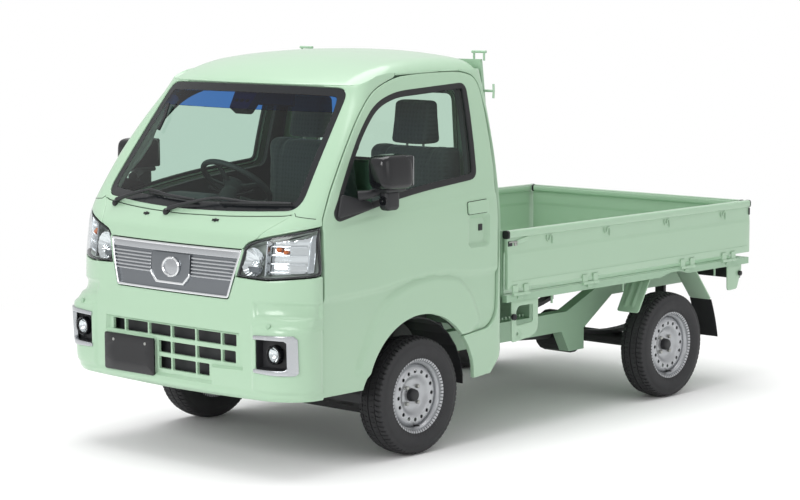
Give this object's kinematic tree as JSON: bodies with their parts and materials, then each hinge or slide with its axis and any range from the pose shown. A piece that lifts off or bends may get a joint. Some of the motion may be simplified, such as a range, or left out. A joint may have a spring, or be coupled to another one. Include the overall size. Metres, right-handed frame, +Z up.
{
  "type": "kei truck",
  "caption": "Small cab-over pickup truck with two doors, an open bed with drop-down side gates and tailgate, steel wheels and a steerable front axle.",
  "frame": {"origin": "on the ground under the middle of the truck's length and width", "axes": "+X to the vehicle's left, +Y to its rear, +Z up"},
  "size_m": [1.74, 3.395, 1.776],
  "materials": {
    "body_paint": "pale green gloss enamel",
    "window_glass": "clear, faint green",
    "lamp_lens": "clear moulded lens",
    "rear_lens": "red lens",
    "plated_trim": "bright plating",
    "plate_blank": "black blank",
    "black_plastic": "moulded black",
    "cabin_plastic": "grained grey",
    "seat_fabric": "woven grey",
    "flap_rubber": "black sheet rubber",
    "tyre": "black tread rubber",
    "wheel_paint": "silver wheel paint",
    "running_gear": "black chassis paint",
    "engine_metal": "as cast",
    "exhaust_steel": "heat-dulled steel",
    "tank_paint": "black paint"
  },
  "bodies": {
    "chassis": {"roof": "body_paint", "cab_back": "body_paint", "screen_frame": "body_paint", "front_panel": "body_paint", "bumper": "body_paint", "number_plate": "plate_blank", "grille": "plated_trim", "front_lamps": "lamp_lens", "cab_glass": "window_glass", "wipers": "black_plastic", "cab_floor": "body_paint", "arch_liners": "black_plastic", "dashboard": "cabin_plastic", "seats": "seat_fabric", "frame_rails": "body_paint", "cross_members": "body_paint", "bed_floor": "body_paint", "guard_frame": "body_paint", "bed_brackets": "body_paint", "mud_flaps": "flap_rubber", "rear_lamps": "rear_lens", "front_suspension": "running_gear", "rear_axle": "running_gear", "leaf_springs": "running_gear", "power_unit": "engine_metal", "exhaust": "exhaust_steel", "fuel_tank": "tank_paint"},
    "knuckle_left": {"knuckle_left": "running_gear"},
    "knuckle_right": {"knuckle_right": "running_gear"},
    "steering_wheel": {"steering_wheel": "cabin_plastic"},
    "wheel_front_left": {"tyre_front_left": "tyre", "rim_front_left": "wheel_paint"},
    "wheel_front_right": {"tyre_front_right": "tyre", "rim_front_right": "wheel_paint"},
    "wheel_rear_left": {"tyre_rear_left": "tyre", "rim_rear_left": "wheel_paint"},
    "wheel_rear_right": {"tyre_rear_right": "tyre", "rim_rear_right": "wheel_paint"},
    "door_left": {"door_left": "body_paint", "door_glass_left": "window_glass", "mirror_left": "black_plastic"},
    "door_right": {"door_right": "body_paint", "door_glass_right": "window_glass", "mirror_right": "black_plastic"},
    "gate_left": {"gate_left": "body_paint"},
    "gate_right": {"gate_right": "body_paint"},
    "tailgate": {"tailgate": "body_paint"}
  },
  "joints": [
    {"name": "steering", "type": "hinge", "parent": "chassis", "child": "steering_wheel", "pos_m": [-0.33497, -0.965, 1.155], "axis": [0, 0.6157, 0.788], "range_deg": [-525, 525]},
    {"name": "steer_left", "type": "hinge", "parent": "chassis", "child": "knuckle_left", "pos_m": [0.575, -0.8675, 0.264], "axis": [0, 0, 1], "range_deg": [-35, 35]},
    {"name": "steer_right", "type": "hinge", "parent": "chassis", "child": "knuckle_right", "pos_m": [-0.575, -0.8675, 0.264], "axis": [0, 0, 1], "range_deg": [-35, 35]},
    {"name": "roll_front_left", "type": "hinge", "parent": "knuckle_left", "child": "wheel_front_left", "pos_m": [0.6525, -0.8675, 0.264], "axis": [1, 0, 0], "continuous": true},
    {"name": "roll_front_right", "type": "hinge", "parent": "knuckle_right", "child": "wheel_front_right", "pos_m": [-0.6525, -0.8675, 0.264], "axis": [1, 0, 0], "continuous": true},
    {"name": "roll_rear_left", "type": "hinge", "parent": "chassis", "child": "wheel_rear_left", "pos_m": [0.65, 1.0325, 0.264], "axis": [1, 0, 0], "continuous": true},
    {"name": "roll_rear_right", "type": "hinge", "parent": "chassis", "child": "wheel_rear_right", "pos_m": [-0.65, 1.0325, 0.264], "axis": [1, 0, 0], "continuous": true},
    {"name": "door_left_swing", "type": "hinge", "parent": "chassis", "child": "door_left", "pos_m": [0.7295, -1.47196, 1], "axis": [0, 0, -1], "range_deg": [0, 65]},
    {"name": "door_right_swing", "type": "hinge", "parent": "chassis", "child": "door_right", "pos_m": [-0.7295, -1.47196, 1], "axis": [0, 0, 1], "range_deg": [0, 65]},
    {"name": "gate_left_drop", "type": "hinge", "parent": "chassis", "child": "gate_left", "pos_m": [0.7395, 0.7, 0.652], "axis": [0, 1, 0], "range_deg": [0, 170]},
    {"name": "gate_right_drop", "type": "hinge", "parent": "chassis", "child": "gate_right", "pos_m": [-0.7395, 0.7, 0.652], "axis": [0, -1, 0], "range_deg": [0, 170]},
    {"name": "tailgate_drop", "type": "hinge", "parent": "chassis", "child": "tailgate", "pos_m": [0, 1.6915, 0.652], "axis": [-1, 0, 0], "range_deg": [0, 170]}
  ],
  "couplings": [
    {"joint": "steer_left", "follows": "steering", "ratio": 0.066667},
    {"joint": "steer_right", "follows": "steering", "ratio": 0.066667}
  ]
}
